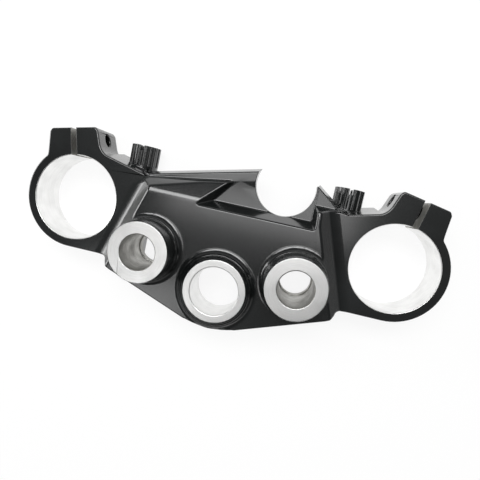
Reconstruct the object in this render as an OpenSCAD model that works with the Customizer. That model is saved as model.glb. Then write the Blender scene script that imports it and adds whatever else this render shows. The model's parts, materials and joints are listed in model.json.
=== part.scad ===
// Upper triple clamp of a motorcycle, cast in one piece and machined.
// Plan positions are laid out from the line through both fork bores, heights
// from the top face of the fork clamps. The part's origin is on the axis of
// the steering stem bore, at the underside of the stem boss.

/* [Fork clamps] */
// Distance between the axes of the two fork bores
fork_pitch = 190; // [186:1:200]
// Diameter of each fork bore
fork_bore_d = 50; // [46:0.5:51]
// Thickness of the clamp ring around the fork
clamp_wall = 5.3; // [4:0.1:6]
// Height of the fork clamps
clamp_h = 26; // [24:1:30]
// Bevel at both mouths of a machined bore
bore_bevel = 0.4; // [0.2:0.1:1]

/* [Pinch ears] */
// Angle that the clamp slot leans outward
slot_lean = 12; // [8:1:14]
// Width of the clamp slot
slot_w = 3.2; // [2:0.2:4]
// Distance from the fork axis to the front end of the ear
ear_reach = 41; // [39:0.5:44]
// Half width of the ear at its front end
ear_half_w = 15; // [13:0.2:16]
// Distance from the fork axis to the axis of the pinch bolt
pinch_reach = 34.5; // [33:0.5:36]
// Clearance hole for the pinch bolt in the outer ear
pinch_clear_d = 8.4; // [8:0.1:9]
// Tapped hole for the pinch bolt in the inner ear
pinch_tap_d = 6.8; // [6:0.1:7.4]

/* [Steering stem boss] */
// Distance from the line of the fork axes back to the stem axis
stem_setback = 33.5; // [31:0.5:36]
// Diameter of the stem bore
stem_bore_d = 27.3; // [25:0.1:29]
// Outer diameter of the machined face around the stem bore
stem_face_d = 35.5; // [33:0.5:37]
// Height of that face above the fork clamps
stem_rise = 12.3; // [11:0.1:14]
// Depth of the boss's underside below the top of the fork clamps
stem_depth = 12.4; // [12:0.1:14]

/* [Handlebar riser bosses] */
// Distance between the axes of the two riser bores
riser_pitch = 86.5; // [84:0.5:88]
// Distance from the line of the fork axes back to the riser axes
riser_setback = 19.5; // [18:0.5:21]
// Diameter of the riser bore
riser_bore_d = 19.6; // [18:0.1:21]
// Diameter of the narrower exit at the underside
riser_exit_d = 18.4; // [16:0.1:18.8]
// Length of the narrower exit
riser_exit_l = 5; // [3:0.5:8]
// Outer diameter of the machined face around the riser bore
riser_face_d = 33.2; // [32:0.2:34]
// Height of that face above the fork clamps
riser_rise = 24.6; // [22:0.1:28]
// Depth of the boss's underside below the top of the fork clamps
riser_depth = 11.6; // [11:0.1:14]

/* [Centre plate] */
// Height of the raised centre above the fork clamps
plate_rise = 7; // [5:0.5:8]
// Depth of the underside of the centre below the top of the fork clamps
web_depth = 10.5; // [9:0.5:11]
// Depth of the front flange below the top of the fork clamps
flange_drop = 1; // [0:0.1:2]
// Depth of the pocket floor below the top of the fork clamps
pocket_drop = 2; // [1:0.1:3]
// Fall of the front right of the plate for each millimetre forward
front_fall = 0.2; // [0.1:0.02:0.3]
// Fall of the front left of the plate for each millimetre forward
left_fall = 0.42; // [0.3:0.02:0.5]
// Radius of the fillet at the foot of each boss
boss_fillet = 4; // [3:0.5:4.5]
// Thickness left above the relief under the plate
plate_skin = 8; // [6:0.5:10]

/* [Switch notch] */
// Distance of the ignition switch notch from the centre line
notch_x = 26.3; // [25:0.1:27]
// Distance of the notch's centre ahead of the line of the fork axes
notch_y = 32.5; // [32:0.1:34]
// Radius of the notch
notch_r = 17.4; // [17:0.1:17.6]

/* [Front lugs] */
// Distance between the axes of the two lugs
lug_pitch = 126.8; // [122:0.4:132]
// Diameter of each lug
lug_d = 17.6; // [15:0.2:18]
// Distance of the lug's end ahead of the line of the fork axes
lug_reach = 38.9; // [37:0.1:42]
// Depth of the lug's axis below the top of the fork clamps
lug_drop = 17; // [12:0.5:17]
// Tapped hole in the end of the lug
lug_hole_d = 6.8; // [5:0.1:8.5]
// Width of the narrow slit across the lug's end
lug_slit_w = 2.2; // [1:0.1:3]
// Depth of that slit
lug_slit_l = 3.4; // [2:0.1:5]

/* [Hidden] */

$fn = 96;
far = 400;
eps = 0.01;

fork_x = fork_pitch / 2;
ring_r = fork_bore_d / 2 + clamp_wall;
riser_x = riser_pitch / 2;
pinch_hole_l = 2 * ear_half_w;

// Plan of the rear edge: two straight runs and the long curve between them.
rear_corner = [64, -36.7];
rear_mid_x = 15;
rear_curve_r = 50;
rear_end_y = -56.5;
rear_slope = 0.363;
rear_mid_y = rear_corner[1] - (rear_corner[0] - rear_mid_x) * rear_slope;

// Plan of the front edges at their upper corners.
wing_front_in = [56.8, 22.4];
wing_front_out = [82.4, 28.6];
wing_draft = 3.4;
flange_front_in = [-52, 23.3];
flange_front_tip = [12, 37.9];
prong_tip = [44, 35.8];
prong_foot = [60.8, 23.4];
front_draft = 2.2;
arm_lap = 3;

// Corners of the plan that are rounded out: left arm to flange, right prong to
// arm, and arm to ear, each with its radius.
flange_corner = [-56.4, 22.3];
flange_corner_r = 13;
prong_corner_r = 9;
ear_corner = [83.9, 28.96];
ear_corner_side = [88.4, 41.2];
ear_corner_r = 9;

// Ribs around a lug: their number, and the radius and depth of the grooves.
lug_ribs = 16;
rib_groove_r = 1.1;
rib_groove_depth = 0.7;

// Bevel around each machined face, as its width and height, and the amount by
// which a boss widens down to the plate.
riser_edge = [0.5, 0.8];
stem_edge = [1.9, 1.2];
wall_lean = 0.6;

// Plan of the raised plate: crest at the front, sloped flanks at the sides,
// and the foot lines of the ramp and of the step down to the front flange.
crest_y = 14;
flank_foot = [60.4, 14];
flank_turn = 19;
flank_knee = [4, 1.4];
flank_run = 10.4;
corner_foot_in = [-60.4, 14];
corner_foot_out = [-53.6, 21.4];
corner_run = 6;
step_foot_in = [-52.6, 21.2];
step_foot_out = [-8.2, 28.2];
step_draft = 3;
ramp_run = 5.8;
ramp_foot_in = [-52.6, 21.8];
ramp_foot_out = [-13.5, 28.9];
step_foot_right_y = 24.8;

// Plan of the pocket around the switch notch. Its front is a shallow slope that
// starts a gap behind the foot of the step.
pocket_back_y = 11.5;
pocket_back_run = 4;
pocket_ridge_in = [-19.3, 14];
pocket_ridge_out = [-8, 28.2];
pocket_ridge_run = 3.5;
pocket_right_x = 47;
pocket_right_run = 2.6;
pocket_front_gap = 3.4;
pocket_front_run = 23.8;

// Right half of the relief under the plate, from front to rear, and the
// hollow between the arms at its foot and at its roof.
relief_plan = [[46, 8], [57, -22], [57, -34], [16, -49]];
belly_foot_x = 56;
belly_roof_x = 48;

// Point number i of n on an arc of radius r about c, from angle a to angle b.
function arc(c, r, a, b, n) =
    [for (i = [0:n]) c + r * [cos(a + (b - a) * i / n), sin(a + (b - a) * i / n)]];

// The point p on the other side of the X axis.
function mirror_y(p) = [p[0], -p[1]];

// Round fill of radius r in the corner c between its edges towards p and q.
module corner_fill(c, p, q, r) {
    u = (p - c) / norm(p - c);
    v = (q - c) / norm(q - c);
    mid = (u + v) / norm(u + v);
    half = acos(u * v) / 2;
    over = 0.04;
    reach = r / tan(half);
    centre = c + mid * r / sin(half);
    difference() {
        polygon([c - mid, c + u * reach - mid, c + u * reach, centre, c + v * reach,
            c + v * reach - mid]);
        translate(centre)
            circle(r = r + over);
    }
}

// Moves the layout frame into the part's own frame.
module laid_out() {
    translate([0, stem_setback, stem_depth])
        children();
}

// The same shape on both sides of the centre line.
module both_sides() {
    children();
    mirror([1, 0, 0])
        children();
}

// A wall that leans out by run below the line p-q and fills the height h, up
// to a narrow land at its upper edge.
module leaning_wall(p, q, z_top, h, run) {
    length = norm(q - p);
    turn = atan2(q[1] - p[1], q[0] - p[0]);
    land = 0.1;
    translate([p[0], p[1], z_top - h])
        rotate([0, 0, turn])
        rotate([90, 0, 90])
        linear_extrude(length)
        polygon([[-1, 0], [run, 0], [-land, h - land], [-1, h - land]]);
}

// Everything ahead of a wall through the line p-q that leans back by run over
// the height h, from z_foot up.
module ahead_of(p, q, z_foot, h, run) {
    length = norm(q - p);
    turn = atan2(q[1] - p[1], q[0] - p[0]);
    grow = 4;
    translate([p[0], p[1], z_foot])
        rotate([0, 0, turn])
        rotate([90, 0, 90])
        translate([0, 0, -far / 2])
        linear_extrude(length + far)
        polygon([[0, 0], [-run * grow, h * grow], [far, h * grow], [far, 0]]);
}

// Plan of the fork clamp on the right, with its ear and the arm to the centre.
module wing_plan() {
    inner_x = wing_front_in[0] - arm_lap;
    translate([fork_x, 0])
        circle(r = ring_r);
    translate([fork_x, 0])
        rotate([0, 0, -slot_lean])
        ear_plan();
    corner_fill(ear_corner, wing_front_in, ear_corner_side, ear_corner_r);
    polygon([
        [fork_x, -ring_r],
        [71, -ring_r],
        [69.2, -31],
        [68.4, -33.2],
        [67, -35.3],
        rear_corner,
        [inner_x, -40.4],
        [inner_x, 21.7],
        wing_front_in,
        wing_front_out,
        [fork_x, 27]
    ]);
}

// Plan of the pinch ears, with the slot's direction along +Y.
module ear_plan() {
    polygon([
        [-17.6, 20],
        [-16.9, 26],
        [-16.2, 30],
        [-ear_half_w, ear_reach - 2],
        [-ear_half_w + 1.5, ear_reach],
        [ear_half_w - 1.5, ear_reach],
        [ear_half_w, ear_reach - 2],
        [16.3, 29],
        [17.5, 22],
        [10, 10],
        [-10, 10]
    ]);
}

// Plan of the centre between the arms, out to the front flange and prongs.
module centre_plan() {
    corner_fill(flange_corner, [-wing_front_out[0], wing_front_out[1]], flange_front_tip,
        flange_corner_r);
    corner_fill(prong_foot, prong_tip, wing_front_out, prong_corner_r);
    difference() {
        polygon([
            [-58, -38.9],
            [-rear_mid_x, rear_mid_y],
            [-rear_mid_x, rear_end_y - 1],
            [rear_mid_x, rear_end_y - 1],
            [rear_mid_x, rear_mid_y],
            [58, -38.9],
            [wing_front_in[0] + arm_lap, 23.1],
            prong_foot,
            prong_tip,
            prong_tip - [2, 0],
            flange_front_tip + [3, 0],
            flange_front_tip,
            flange_front_in,
            [-58, 22.6]
        ]);
        difference() {
            translate([-rear_mid_x - eps, rear_end_y - 2])
                square([2 * rear_mid_x + 2 * eps, rear_mid_y - rear_end_y + 2]);
            translate([0, rear_end_y + rear_curve_r])
                circle(r = rear_curve_r, $fn = 180);
        }
    }
}

// Arm and fork clamp, solid, with drafted front wall and tapered underside.
module wing() {
    translate([0, 0, -clamp_h])
        linear_extrude(clamp_h)
        wing_plan();
    leaning_wall(wing_front_in, wing_front_out, 0, clamp_h, wing_draft);
}

// Web and front flange of the centre, below the raised plate. The flange's
// drafted wall starts inside the arm.
module web() {
    run_in = 4;
    along = flange_front_tip - flange_front_in;
    wall_start = flange_front_in - run_in * along / norm(along);
    translate([0, 0, -web_depth])
        linear_extrude(web_depth - flange_drop)
        centre_plan();
    leaning_wall(wall_start, flange_front_tip, -flange_drop,
        web_depth - flange_drop, front_draft);
    leaning_wall(prong_tip, prong_foot, -flange_drop,
        web_depth - flange_drop, front_draft);
}

// Everything outside the right flank, which has a knee above its foot.
module flank_cut() {
    rise = plate_rise - flank_knee[1];
    run = flank_run - flank_knee[0];
    top = 3 * rise + flank_knee[1];
    translate([flank_foot[0], flank_foot[1], 0])
        rotate([0, 0, flank_turn])
        rotate([90, 0, 0])
        translate([0, 0, -far / 2])
        linear_extrude(far)
        polygon([
            [0, 0],
            [-flank_knee[0], flank_knee[1]],
            [-flank_knee[0] - 3 * run, top],
            [far, top],
            [far, 0]
        ]);
}

// Everything outside both flanks and the cut left front corner.
module flank_cuts() {
    both_sides()
        flank_cut();
    ahead_of(corner_foot_in, corner_foot_out, 0, plate_rise, corner_run);
}

// Raised plate with sloped flanks, falling front and stepped front edge.
module plate() {
    front_y = 40;
    rear_y = -60;
    left_foot_y = crest_y + plate_rise / left_fall;
    difference() {
        intersection() {
            translate([0, 0, -web_depth])
                linear_extrude(web_depth + plate_rise) {
                centre_plan();
                both_sides()
                    wing_plan();
            }
            rotate([90, 0, 90])
                translate([0, 0, -far / 2])
                linear_extrude(far)
                polygon([
                    [rear_y, -web_depth],
                    [front_y, -web_depth],
                    [front_y, plate_rise - (front_y - crest_y) * front_fall],
                    [crest_y, plate_rise],
                    [rear_y, plate_rise]
                ]);
        }
        flank_cuts();
        intersection() {
            union() {
                ahead_of(step_foot_in, step_foot_out, -flange_drop, plate_rise, step_draft);
                ahead_of(ramp_foot_in, ramp_foot_out, -flange_drop, plate_rise, ramp_run);
                ahead_of([0, left_foot_y], [10, left_foot_y], 0, plate_rise,
                    plate_rise / left_fall);
            }
            translate([-far, 0, -far / 2])
                cube([far + 30, far, far]);
        }
        intersection() {
            ahead_of([0, step_foot_right_y], [10, step_foot_right_y],
                -flange_drop, plate_rise, step_draft);
            translate([30, 0, -far / 2])
                cube([far, far, far]);
        }
    }
}

// Sunk pocket behind the switch notch, with sloped walls.
module pocket() {
    depth = plate_rise + pocket_drop;
    grow = 3;
    intersection() {
        rotate([90, 0, 90])
            translate([0, 0, -far / 2])
            linear_extrude(far)
            polygon([
                [pocket_back_y + pocket_back_run, -pocket_drop],
                [pocket_back_y - pocket_back_run * (grow - 1), depth * grow - pocket_drop],
                [far, depth * grow - pocket_drop],
                [far, -pocket_drop]
            ]);
        ridge_side();
        mirror([0, 1, 0])
            ahead_of(mirror_y(step_foot_in - [0, pocket_front_gap]),
                mirror_y(step_foot_out - [0, pocket_front_gap]),
                -pocket_drop, plate_rise, pocket_front_run);
        rotate([90, 0, 180])
            translate([-pocket_right_x, 0, -far / 2])
            linear_extrude(far)
            polygon([
                [pocket_right_run, -pocket_drop],
                [-pocket_right_run * (grow - 1), depth * grow - pocket_drop],
                [far, depth * grow - pocket_drop],
                [far, -pocket_drop]
            ]);
    }
}

// Space on the right of the sloped wall that runs under the pocket's ridge.
module ridge_side() {
    turn = atan2(pocket_ridge_out[1] - pocket_ridge_in[1],
        pocket_ridge_out[0] - pocket_ridge_in[0]);
    depth = plate_rise + pocket_drop;
    grow = 3;
    translate([pocket_ridge_in[0], pocket_ridge_in[1], 0])
        rotate([0, 0, turn])
        rotate([90, 0, 90])
        translate([0, 0, -far / 2])
        linear_extrude(far)
        polygon([
            [-pocket_ridge_run, -pocket_drop],
            [pocket_ridge_run * (grow - 1), depth * grow - pocket_drop],
            [-far, depth * grow - pocket_drop],
            [-far, -pocket_drop]
        ]);
}

// Round boss with a drafted wall and a bevelled edge around its machined face.
module boss(face_r, edge, z_low, z_top) {
    rotate_extrude()
        polygon([
            [0, z_low],
            [face_r + edge[0] + wall_lean, z_low],
            [face_r + edge[0] + wall_lean, plate_rise],
            [face_r + edge[0], z_top - edge[1]],
            [face_r, z_top],
            [0, z_top]
        ]);
}

// Fillet on the raised plate around a boss whose wall has the radius r there.
module boss_foot(r) {
    top = [r + boss_fillet, plate_rise + boss_fillet];
    rotate_extrude()
        polygon(concat(
            [[r - 2, plate_rise - 1], [r + boss_fillet, plate_rise - 1]],
            arc(top, boss_fillet, 270, 188, 8),
            [[r - 2, plate_rise + boss_fillet - 0.6]]
        ));
}

// Bosses of the two handlebar risers and the steering stem.
module bosses() {
    intersection() {
        union() {
            both_sides()
                translate([riser_x, -riser_setback, 0])
                boss(riser_face_d / 2, riser_edge, -riser_depth, riser_rise);
            translate([0, -stem_setback, 0])
                boss(stem_face_d / 2, stem_edge, -stem_depth, stem_rise);
        }
        boss_field();
    }
    intersection() {
        difference() {
            union() {
                both_sides()
                    translate([riser_x, -riser_setback, 0])
                    boss_foot(riser_face_d / 2 + riser_edge[0] + wall_lean);
                translate([0, -stem_setback, 0])
                    boss_foot(stem_face_d / 2 + stem_edge[0] + wall_lean);
            }
            flank_cuts();
        }
        boss_field();
    }
}

// Space above the plan of the casting, which trims the bosses at the rear.
module boss_field() {
    translate([0, 0, -clamp_h])
        linear_extrude(clamp_h + riser_rise) {
        centre_plan();
        both_sides()
            wing_plan();
    }
}

// Ribbed lug that sticks out ahead of the arm.
module lug() {
    root_y = 15;
    rib_y = 27;
    translate([lug_pitch / 2, root_y, -lug_drop])
        rotate([-90, 0, 0])
        difference() {
        cylinder(d = lug_d, h = lug_reach - root_y);
        for (i = [0:lug_ribs - 1])
            rotate([0, 0, (i + 0.5) * 360 / lug_ribs])
                translate([lug_d / 2 + rib_groove_r - rib_groove_depth, 0, rib_y - root_y])
                cylinder(r = rib_groove_r, h = lug_reach - rib_y + 1);
    }
}

// Hole and slit in the end of a lug.
module lug_cut() {
    hole_l = 12;
    translate([lug_pitch / 2, lug_reach - hole_l, -lug_drop])
        rotate([-90, 0, 0])
        cylinder(d = lug_hole_d, h = hole_l + 1);
    translate([lug_pitch / 2 - lug_slit_w / 2, lug_reach - lug_slit_l, -lug_drop - lug_d])
        cube([lug_slit_w, lug_slit_l + 1, 2 * lug_d]);
}

// Straight bore from z_low to z_top with a bevel at its upper mouth.
module bevelled_bore(r, z_low, z_top) {
    translate([0, 0, z_low - 1])
        cylinder(r = r, h = z_top - z_low + 2);
    translate([0, 0, z_top - bore_bevel])
        cylinder(r1 = r, r2 = r + 2 * bore_bevel, h = 2 * bore_bevel);
}

// Fork bore, clamp slot and pinch bolt hole of the right clamp.
module clamp_cuts() {
    translate([fork_x, 0, 0]) {
        bevelled_bore(fork_bore_d / 2, -clamp_h, 0);
        mirror([0, 0, 1])
            bevelled_bore(fork_bore_d / 2, 0, clamp_h);
        rotate([0, 0, -slot_lean]) {
            translate([-slot_w / 2, 0, -clamp_h - 1])
                cube([slot_w, far, clamp_h + 2]);
            translate([0, pinch_reach, -clamp_h / 2])
                rotate([0, 90, 0])
                cylinder(d = pinch_clear_d, h = pinch_hole_l);
            translate([eps, pinch_reach, -clamp_h / 2])
                rotate([0, -90, 0])
                cylinder(d = pinch_tap_d, h = pinch_hole_l);
        }
    }
}

// Riser bore with its narrower exit at the underside.
module riser_cuts() {
    shoulder_z = -riser_depth + riser_exit_l;
    translate([riser_x, -riser_setback, 0]) {
        bevelled_bore(riser_bore_d / 2, shoulder_z + 1, riser_rise);
        translate([0, 0, -riser_depth - 1])
            cylinder(d = riser_exit_d, h = riser_exit_l + 2);
    }
}

// Relief under the raised plate, between the bosses.
module relief() {
    top_z = plate_rise - plate_skin;
    translate([0, 0, -clamp_h])
        linear_extrude(clamp_h + top_z)
        difference() {
            both_sides()
                polygon(concat(
                    [[-eps, relief_plan[0][1]]],
                    relief_plan,
                    [[-eps, relief_plan[3][1]]]
                ));
            both_sides()
                translate([riser_x, -riser_setback])
                circle(r = riser_face_d / 2);
            translate([0, -stem_setback])
                circle(r = stem_face_d / 2 + 2);
        }
}

// Hollow between the arms, under the centre.
module belly() {
    low = -clamp_h - 1;
    rotate([90, 0, 0])
        translate([0, 0, -far / 2])
        linear_extrude(far)
        polygon([
            [-belly_foot_x, low],
            [-belly_roof_x, -web_depth],
            [belly_roof_x, -web_depth],
            [belly_foot_x, low]
        ]);
}

// The whole casting.
module clamp() {
    color("#2b2e2f")
        laid_out()
        difference() {
            union() {
                difference() {
                    union() {
                        both_sides()
                            wing();
                        web();
                        plate();
                    }
                    belly();
                    relief();
                }
                bosses();
                both_sides()
                    lug();
            }
            pocket();
            translate([notch_x, notch_y, -clamp_h])
                cylinder(r = notch_r, h = 2 * clamp_h);
            both_sides() {
                clamp_cuts();
                riser_cuts();
                lug_cut();
            }
            translate([0, -stem_setback, 0])
                bevelled_bore(stem_bore_d / 2, -stem_depth, stem_rise);
        }
}

clamp();
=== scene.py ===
import json
import math

import bmesh
import bpy
import numpy as np
from mathutils import Matrix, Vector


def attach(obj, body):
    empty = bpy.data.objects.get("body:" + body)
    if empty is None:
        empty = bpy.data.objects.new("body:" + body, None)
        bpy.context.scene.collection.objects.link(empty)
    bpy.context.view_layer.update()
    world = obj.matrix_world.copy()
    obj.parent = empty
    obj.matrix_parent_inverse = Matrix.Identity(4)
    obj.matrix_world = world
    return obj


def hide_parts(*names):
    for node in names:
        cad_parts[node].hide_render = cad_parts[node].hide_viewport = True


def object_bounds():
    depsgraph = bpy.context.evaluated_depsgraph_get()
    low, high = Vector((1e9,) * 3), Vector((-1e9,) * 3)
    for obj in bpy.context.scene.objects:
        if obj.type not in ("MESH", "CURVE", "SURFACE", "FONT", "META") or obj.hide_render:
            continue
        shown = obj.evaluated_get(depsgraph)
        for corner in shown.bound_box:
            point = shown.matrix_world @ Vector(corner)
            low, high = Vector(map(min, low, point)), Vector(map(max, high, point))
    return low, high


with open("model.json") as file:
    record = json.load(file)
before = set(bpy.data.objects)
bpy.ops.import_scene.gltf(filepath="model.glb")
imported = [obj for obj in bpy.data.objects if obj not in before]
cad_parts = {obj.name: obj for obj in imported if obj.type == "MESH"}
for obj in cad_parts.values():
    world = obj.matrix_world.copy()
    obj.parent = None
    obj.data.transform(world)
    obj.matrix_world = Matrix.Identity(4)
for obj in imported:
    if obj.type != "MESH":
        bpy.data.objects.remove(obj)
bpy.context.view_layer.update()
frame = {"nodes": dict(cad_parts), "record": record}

# The viewpoint. The photograph was taken from a quarter of a metre above the
# right half of the clamp, with the camera tilted and turned a little, so that
# the bores show their walls.
eye_place = (0.029694, 0.055939, 0.252190)
eye_turn = (-4.82255, 6.53349, 12.27274)
eye = bpy.data.objects.new("eye", bpy.data.cameras.new("eye"))
eye.data.lens = 31.4985
eye.data.sensor_width = 36.0
eye.data.clip_start = 0.01
eye.location = eye_place
eye.rotation_euler = [math.radians(angle) for angle in eye_turn]
bpy.context.scene.collection.objects.link(eye)
bpy.context.scene.camera = eye

# The casting. One piece of sand-cast aluminium, coated black all over and then
# machined bare at its bores and seats. It clamps round both fork tubes, and a
# nut holds it on the steering stem.
solid = frame["nodes"]["clamp"]
mounts = {mount["name"]: mount for mount in frame["record"]["mounts"]}


def bore(name):
    """A bore's axis x and y and its radius, in metres, from its mount."""
    x, y, _ = mounts[name]["pos_m"]
    return x, y, mounts[name]["dims"]["r_mm"] / 1000


fork_x, fork_y, fork_r = bore("right_fork_clamp")
riser_x, riser_y, riser_r = bore("right_riser_bore")
stem_x, stem_y, stem_r = bore("stem_bore")
riser_seat_r, riser_seat_z = 0.0166, mounts["right_riser_seat"]["pos_m"][2]
stem_seat_r, stem_seat_z = 0.01775, mounts["stem_nut_seat"]["pos_m"][2]

# The solid's doubled vertices are merged and its flat faces joined. A cut
# through each bore axis then leaves no flat face with a hole in it.
merge_gap = 0.0001
flat_turn = math.radians(0.8)
cut_gap = 0.00002
casting_mesh = bpy.data.meshes.new("triple_clamp")
shell = bmesh.new()
shell.from_mesh(solid.data)
bmesh.ops.remove_doubles(shell, verts=shell.verts, dist=merge_gap)
bmesh.ops.dissolve_limit(shell, angle_limit=flat_turn, verts=shell.verts, edges=shell.edges)
axes = ((-fork_x, fork_y), (-riser_x, riser_y), (stem_x, stem_y), (riser_x, riser_y), (fork_x, fork_y))
for axis_x, axis_y in axes:
    for point, across in (((axis_x, 0, 0), (1, 0, 0)), ((0, axis_y, 0), (0, 1, 0))):
        bmesh.ops.bisect_plane(shell, geom=[*shell.verts, *shell.edges, *shell.faces],
                               dist=cut_gap, plane_co=point, plane_no=across)
shell.to_mesh(casting_mesh)
shell.free()
casting = bpy.data.objects.new("triple_clamp", casting_mesh)
bpy.context.scene.collection.objects.link(casting)

# The casting is coated, turned bright, or left dull and rough by the drill or the saw.
# The dull faces, in the deep riser bores and the narrow saw slots, are also
# painted darker than bare metal, as painted shade in these recesses.
COATED, BRIGHT, DULL_SHADED = range(3)
upright = 0.9
wall_gap = 0.0006
seat_gap = 0.0002
shoulder_low, shoulder_high = 0.002, 0.02
slot_lean = math.radians(12)
slot_half_w = 0.0017
slot_start = 0.02


def finish_of(x, y, z, up):
    """The finish of each face, from its centre x, y, z and the upward part of
    its normal. A wall stands upright within a bore's radius r of its axis, a
    seat faces up at its own height, and a saw slot runs forward from the fork
    axis along a line that leans outward."""
    side = np.abs(x)
    kind = np.full(len(x), COATED, np.int32)
    # Riser bore walls, their shoulder and the saw slots get the dull kind: rougher from the tool, and painted
    # darker as shade.
    walls = ((fork_x, fork_y, fork_r, BRIGHT), (riser_x, riser_y, riser_r, DULL_SHADED),
             (stem_x, stem_y, stem_r, BRIGHT))
    for axis_x, axis_y, wall_r, wall_kind in walls:
        r = np.hypot(side - axis_x, y - axis_y)
        kind[(r < wall_r + wall_gap) & (np.abs(up) < upright)] = wall_kind
    seats = ((riser_x, riser_y, riser_seat_r, riser_seat_z), (stem_x, stem_y, stem_seat_r, stem_seat_z))
    for axis_x, axis_y, seat_r, seat_z in seats:
        r = np.hypot(side - axis_x, y - axis_y)
        kind[(r < seat_r) & (np.abs(z - seat_z) < seat_gap) & (up > upright)] = BRIGHT
    in_riser = np.hypot(side - riser_x, y - riser_y) < riser_r
    kind[in_riser & (up > upright) & (z > shoulder_low) & (z < shoulder_high)] = DULL_SHADED
    across = (side - fork_x) * math.cos(slot_lean) - (y - fork_y) * math.sin(slot_lean)
    along = (side - fork_x) * math.sin(slot_lean) + (y - fork_y) * math.cos(slot_lean)
    kind[(np.abs(across) < slot_half_w) & (along > slot_start)] = DULL_SHADED
    return kind


def read(items, attribute, width=1, kind=float):
    """One attribute of all items as an array, with width numbers to a row."""
    values = np.empty(len(items) * width, kind)
    items.foreach_get(attribute, values)
    return values.reshape(-1, width) if width > 1 else values


centre = read(casting_mesh.polygons, "center", 3)
normal = read(casting_mesh.polygons, "normal", 3)
area = read(casting_mesh.polygons, "area")
finish = finish_of(*centre.T, normal[:, 2])
casting_mesh.polygons.foreach_set("material_index", finish)
casting_mesh.polygons.foreach_set("use_smooth", np.ones(len(finish), bool))

# For each edge, its length, its middle, the two faces beside it and the angle
# by which the surface turns there. A face is broad by its area over its longest
# edge.
ends = read(casting_mesh.edges, "vertices", 2, int)
spots = read(casting_mesh.vertices, "co", 3)
length = np.linalg.norm(spots[ends[:, 0]] - spots[ends[:, 1]], axis=1)
middle = (spots[ends[:, 0]] + spots[ends[:, 1]]) / 2
loop_edge = read(casting_mesh.loops, "edge_index", kind=int)
loop_face = np.repeat(np.arange(len(area)), read(casting_mesh.polygons, "loop_total", kind=int))
pair = loop_face[np.argsort(loop_edge, kind="stable")].reshape(-1, 2)
turn = np.degrees(np.arccos(np.clip((normal[pair[:, 0]] * normal[pair[:, 1]]).sum(1), -1, 1)))
longest = np.zeros(len(area))
np.maximum.at(longest, loop_face, length[loop_edge])
broad_width = 0.004
broad = (area / longest > broad_width)[pair].all(1)

# Every corner of the casting is rounded: an edge counts as a corner where the
# faces turn by more than 18.5 degrees, or by 4 between two broad faces. The
# crest of the raised plate has the softest radius, the rim of the switch notch
# a tighter one, and a lug's rib or the rim of a machined face the finest.
corner_turn, broad_turn = 18.5, 4
crest_radius, cast_radius, notch_radius, fine_radius = 0.002, 0.001, 0.0004, 0.00024
level, crest_steepest, crest_flattest = 0.995, 0.85, 0.96
notch_x, notch_y, notch_reach = 0.0263, 0.066, 0.0205
lug_x = mounts["right_lug_thread"]["pos_m"][0]
rib_half_w, rib_start, rib_top = 0.0092, 0.059, 0.0045
corner = (turn > corner_turn) | ((turn > broad_turn) & broad)
steeper, flatter = np.sort(normal[pair][:, :, 2], axis=1).T
crest = (flatter > level) & (steeper > crest_steepest) & (steeper < crest_flattest)
notch = np.hypot(middle[:, 0] - notch_x, middle[:, 1] - notch_y) < notch_reach
on_lug = np.abs(np.abs(middle[:, 0]) - lug_x) < rib_half_w
rib = on_lug & (middle[:, 1] > rib_start) & (middle[:, 2] < rib_top)
fine = rib | (finish > COATED)[pair].any(1)
radius = np.select([~corner, fine, notch, crest], [0.0, fine_radius, notch_radius, crest_radius], cast_radius)
weight = casting_mesh.attributes.new("bevel_weight_edge", "FLOAT", "EDGE")
weight.data.foreach_set("value", radius / crest_radius)
casting_mesh.update()

rounding = casting.modifiers.new("edge_radius", "BEVEL")
rounding.width = crest_radius
rounding.segments = 4
rounding.limit_method = "WEIGHT"
rounding.use_clamp_overlap = False
rounding.miter_outer = "MITER_ARC"
shading = casting.modifiers.new("even_shading", "WEIGHTED_NORMAL")
shading.weight = 80


def shader(name, color, roughness, metallic):
    """A new material with its Principled shader set to plain values."""
    made = bpy.data.materials.new(name)
    made.use_nodes = True
    surface = made.node_tree.nodes["Principled BSDF"]
    surface.inputs["Base Color"].default_value = (*color, 1)
    surface.inputs["Roughness"].default_value = roughness
    surface.inputs["Metallic"].default_value = metallic
    return made, surface


def add_node(tree, kind, links=(), **settings):
    """A node of that kind; settings set its properties, links feed its inputs
    as (input, source socket or plain value)."""
    node = tree.nodes.new(kind)
    for key, value in settings.items():
        setattr(node, key, value)
    for slot, source in links:
        if isinstance(source, bpy.types.NodeSocket):
            tree.links.new(source, node.inputs[slot])
        else:
            node.inputs[slot].default_value = source
    return node


def calc(tree, operation, *values):
    """The result of a Math node on those sockets or plain values."""
    return add_node(tree, "ShaderNodeMath", enumerate(values), operation=operation).outputs[0]


def object_place(tree):
    """The point of the object that is shaded, in metres."""
    return add_node(tree, "ShaderNodeTexCoord").outputs["Object"]


def noise(tree, place, scale, detail):
    """Noise of about scale spots to the metre at place."""
    links = [("Vector", place), ("Scale", scale), ("Detail", detail)]
    return add_node(tree, "ShaderNodeTexNoise", links).outputs["Fac"]


def spread(tree, source, span, result, **settings):
    """A number that runs over result while source runs over span."""
    links = [("Value", source), ("From Min", span[0]), ("From Max", span[1]),
             ("To Min", result[0]), ("To Max", result[1])]
    return add_node(tree, "ShaderNodeMapRange", links, **settings).outputs["Result"]


def ramp(tree, source, stops):
    """A colour ramp fed by source, with stops of (position, colour)."""
    node = add_node(tree, "ShaderNodeValToRGB", [("Fac", source)])
    while len(node.color_ramp.elements) < len(stops):
        node.color_ramp.elements.new(0.5)
    for element, (position, color) in zip(node.color_ramp.elements, stops):
        element.position = position
        element.color = (*color, 1)
    return node.outputs["Color"]


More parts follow.
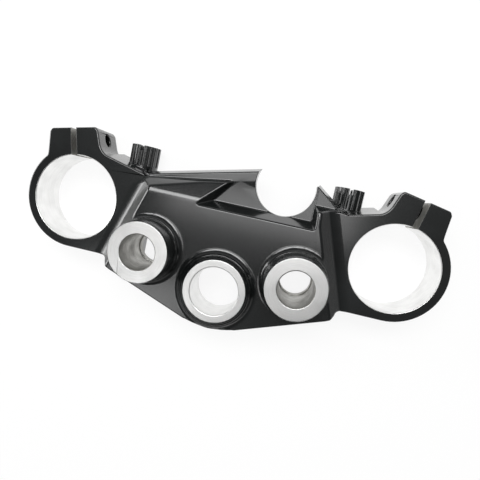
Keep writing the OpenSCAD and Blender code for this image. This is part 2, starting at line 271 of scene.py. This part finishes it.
def dress(tree, surface, tint, gloss, relief, strength, distance):
    """Feeds a shader its colour, its roughness and a bump from that relief."""
    links = [("Height", relief), ("Strength", strength), ("Distance", distance)]
    bump = add_node(tree, "ShaderNodeBump", links)
    tree.links.new(tint, surface.inputs["Base Color"])
    tree.links.new(gloss, surface.inputs["Roughness"])
    tree.links.new(bump.outputs["Normal"], surface.inputs["Normal"])


# The black coating is satin, faintly clouded, with a clear top that mirrors
# more sharply. The grain of the sand casting and a fine orange peel show in it.
coating, coat = shader("black_coating", (0.010, 0.012, 0.012), 0.34, 0.0)
coat.inputs["Specular IOR Level"].default_value = 0.1
coat.inputs["Coat Weight"].default_value = 1.0
coat.inputs["Coat Roughness"].default_value = 0.17
coat.inputs["Coat IOR"].default_value = 1.75
tree = coating.node_tree
place = object_place(tree)
cloud = noise(tree, place, scale=45.0, detail=4.0)
tint = ramp(tree, cloud, ((0.3, (0.006, 0.007, 0.007)), (0.7, (0.012, 0.014, 0.014))))
gloss = spread(tree, cloud, (0.3, 0.7), (0.28, 0.42))
peel = noise(tree, place, scale=900.0, detail=2.0)
sand = noise(tree, place, scale=220.0, detail=3.0)
dress(tree, coat, tint, gloss, calc(tree, "ADD", peel, sand), strength=0.12, distance=0.0002)
casting_mesh.materials.append(coating)

# Bare metal shows the marks of its tool. A point belongs to the stem bore up
# to near_stem from the centre line, then to a riser bore up to near_riser, and
# beyond that to a fork bore.
near_stem, near_riser = 0.0215, 0.066
mark_drift = 0.0006


def turned_marks(tree):
    """Noise that runs round the nearest bore axis, as a cutter leaves it: it
    changes fast with the sum of the height and the distance r from the axis,
    and slowly with the direction from the axis. The second noise is coarse and
    runs no special way."""
    place = object_place(tree)
    part = add_node(tree, "ShaderNodeSeparateXYZ", [("Vector", place)])
    side = calc(tree, "ABSOLUTE", part.outputs["X"])
    past_stem = calc(tree, "GREATER_THAN", side, near_stem)
    past_riser = calc(tree, "GREATER_THAN", side, near_riser)
    offset = []
    for value, riser, fork in ((side, riser_x, fork_x), (part.outputs["Y"], riser_y, fork_y)):
        to_riser = calc(tree, "MULTIPLY_ADD", past_stem, riser, 0.0)
        to_axis = calc(tree, "MULTIPLY_ADD", past_riser, fork - riser, to_riser)
        offset.append(calc(tree, "SUBTRACT", value, to_axis))
    flat = add_node(tree, "ShaderNodeCombineXYZ", [("X", offset[0]), ("Y", offset[1])]).outputs[0]
    r = add_node(tree, "ShaderNodeVectorMath", [(0, flat)], operation="LENGTH").outputs["Value"]
    way = add_node(tree, "ShaderNodeVectorMath", [(0, flat)], operation="NORMALIZE").outputs[0]
    slow = add_node(tree, "ShaderNodeVectorMath", [(0, way), (3, mark_drift)], operation="SCALE").outputs[0]
    slow_part = add_node(tree, "ShaderNodeSeparateXYZ", [("Vector", slow)])
    depth = calc(tree, "ADD", r, part.outputs["Z"])
    links = [("X", depth), ("Y", slow_part.outputs["X"]), ("Z", slow_part.outputs["Y"])]
    wound = add_node(tree, "ShaderNodeCombineXYZ", links).outputs[0]
    return noise(tree, wound, scale=4200.0, detail=3.0), noise(tree, place, scale=110.0, detail=3.0)


bare = shader("machined_aluminium", (0.82, 0.82, 0.80), 0.3, 1.0)
# The dull metal's higher roughness is the tool's own; its darker colour is painted shade for the deep riser
# bores and the narrow saw slots.
dull_shaded = shader("dull_shaded_aluminium", (0.35, 0.35, 0.33), 0.5, 1.0)
for (metal, surface), dark, light, smooth, rough in (
        (bare, (0.84, 0.84, 0.83), (0.97, 0.97, 0.96), 0.3, 0.46),
        (dull_shaded, (0.30, 0.295, 0.275), (0.60, 0.595, 0.57), 0.42, 0.62)):
    tree = metal.node_tree
    fine_marks, wide_marks = turned_marks(tree)
    marks = calc(tree, "MULTIPLY", calc(tree, "ADD", fine_marks, wide_marks), 0.5)
    tint = ramp(tree, marks, ((0.35, dark), (0.62, light)))
    gloss = spread(tree, marks, (0.35, 0.65), (rough, smooth))
    dress(tree, surface, tint, gloss, fine_marks, strength=0.25, distance=0.00006)
    casting_mesh.materials.append(metal)

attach(casting, "root")
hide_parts("clamp")

# The table. A sheet of white paper that is pure white near the part, to the eye
# and in what the metal mirrors. It fades further out and keeps a share of the
# part's shadow.
table_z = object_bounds()[0].z
reach = 4.0
fade_span = (0.3, 1.3)
fade_glow = (1.08, 0.33)
glow_share = 0.82
table_mesh = bpy.data.meshes.new("table")
table_corners = [(-reach, -reach, table_z), (reach, -reach, table_z),
                 (reach, reach, table_z), (-reach, reach, table_z)]
table_mesh.from_pydata(table_corners, [], [(0, 1, 2, 3)])
table = bpy.data.objects.new("table", table_mesh)
bpy.context.scene.collection.objects.link(table)
paper = bpy.data.materials.new("table_paper")
paper.use_nodes = True
tree = paper.node_tree
tree.nodes.clear()
path = add_node(tree, "ShaderNodeLightPath")
seen = calc(tree, "MAXIMUM", path.outputs["Is Camera Ray"], path.outputs["Is Glossy Ray"])
seen = calc(tree, "MAXIMUM", seen, path.outputs["Is Transmission Ray"])
share = calc(tree, "MULTIPLY", seen, glow_share)
away = add_node(tree, "ShaderNodeVectorMath", [(0, object_place(tree))], operation="LENGTH").outputs["Value"]
fade = spread(tree, away, fade_span, fade_glow, interpolation_type="SMOOTHSTEP")
lit = add_node(tree, "ShaderNodeBsdfDiffuse", [("Color", (0.85, 0.85, 0.85, 1))])
glow = add_node(tree, "ShaderNodeEmission", [("Strength", fade)])
mix = add_node(tree, "ShaderNodeMixShader", [("Fac", share), (1, lit.outputs[0]), (2, glow.outputs[0])])
add_node(tree, "ShaderNodeOutputMaterial", [("Surface", mix.outputs[0])])
table_mesh.materials.append(paper)

# The studio. A grey room that the black coating mirrors, lightest at the
# horizon and darkest half way up, with four soft lamps.
world = bpy.data.worlds.new("studio")
bpy.context.scene.world = world
world.use_nodes = True
tree = world.node_tree
way = add_node(tree, "ShaderNodeTexCoord").outputs["Generated"]
height = add_node(tree, "ShaderNodeSeparateXYZ", [("Vector", way)]).outputs["Z"]
greys = ((0.0, 0.34), (0.2, 0.30), (0.5, 0.05), (1.0, 0.15))
dome = ramp(tree, height, [(position, (grey, grey, grey)) for position, grey in greys])
sky = tree.nodes["Background"]
tree.links.new(dome, sky.inputs["Color"])
sky.inputs["Strength"].default_value = 1.0


def soft_box(name, place, aim, size, power):
    """A rectangular area lamp at place that faces aim, so its own Z axis points
    from aim to place. The first number of size runs along X as nearly as it
    can, or upward for a lamp that stands at the side."""
    lamp = bpy.data.lights.new(name, "AREA")
    lamp.shape = "RECTANGLE"
    lamp.size, lamp.size_y = size
    lamp.energy = power
    holder = bpy.data.objects.new(name, lamp)
    holder.visible_camera = False
    bpy.context.scene.collection.objects.link(holder)
    z = np.array(place, float) - np.array(aim, float)
    z /= np.linalg.norm(z)
    at_the_side = abs(z[0]) > 0.5
    x = np.cross((0, 1, 0), z) if at_the_side else np.array((1.0, 0, 0)) - z * z[0]
    x /= np.linalg.norm(x)
    turned = np.eye(4)
    turned[:3] = np.column_stack((x, np.cross(z, x), z, place))
    holder.matrix_world = Matrix(turned.tolist())


soft_box("overhead", (-0.04, 0.23, 0.9), (-0.04, 0.23, 0), (0.5, 0.5), 1.65)
soft_box("rear_left", (-0.33, -0.36, 0.9), (0, 0, 0), (0.3, 0.3), 0.65)
soft_box("front_strip", (-0.05, 0.52, 0.88), (0, 0.03, 0), (1.0, 0.3), 5.6)
soft_box("left_low", (-1.1, 0.1, 0.3), (0, 0.03, 0), (0.6, 0.45), 4.0)

bpy.context.scene.view_settings.view_transform = "Standard"
